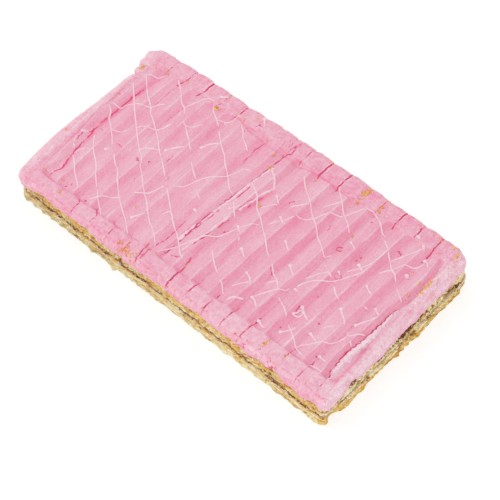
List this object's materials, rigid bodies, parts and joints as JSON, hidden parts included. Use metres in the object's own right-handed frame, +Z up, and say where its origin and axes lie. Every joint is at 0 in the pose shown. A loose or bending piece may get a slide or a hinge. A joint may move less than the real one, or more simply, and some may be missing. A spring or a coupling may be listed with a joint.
{
  "type": "raspberry slice",
  "caption": "Flat pastry slice with jam between two flaky sheets and a thick pink icing top with a raised border, leaning ridges and fine drizzle.",
  "frame": {"origin": "middle of the underside, on the surface that the slice lies on", "axes": "+X along the slice towards its pale sloping end, +Y across the slice, +Z up through the layers"},
  "size_m": [0.1308, 0.0712, 0.0127],
  "materials": {
    "bottom_pastry": "matte, flaky and layered",
    "raspberry_jam": "dark, slightly moist",
    "top_pastry": "matte, crumbly, golden in places",
    "pink_icing": "matte to soft satin, dry sugar surface"
  },
  "bodies": {
    "root": {"pastry_bottom": "bottom_pastry", "raspberry_filling": "raspberry_jam", "pastry_top": "top_pastry", "icing": "pink_icing"}
  },
  "joints": []
}
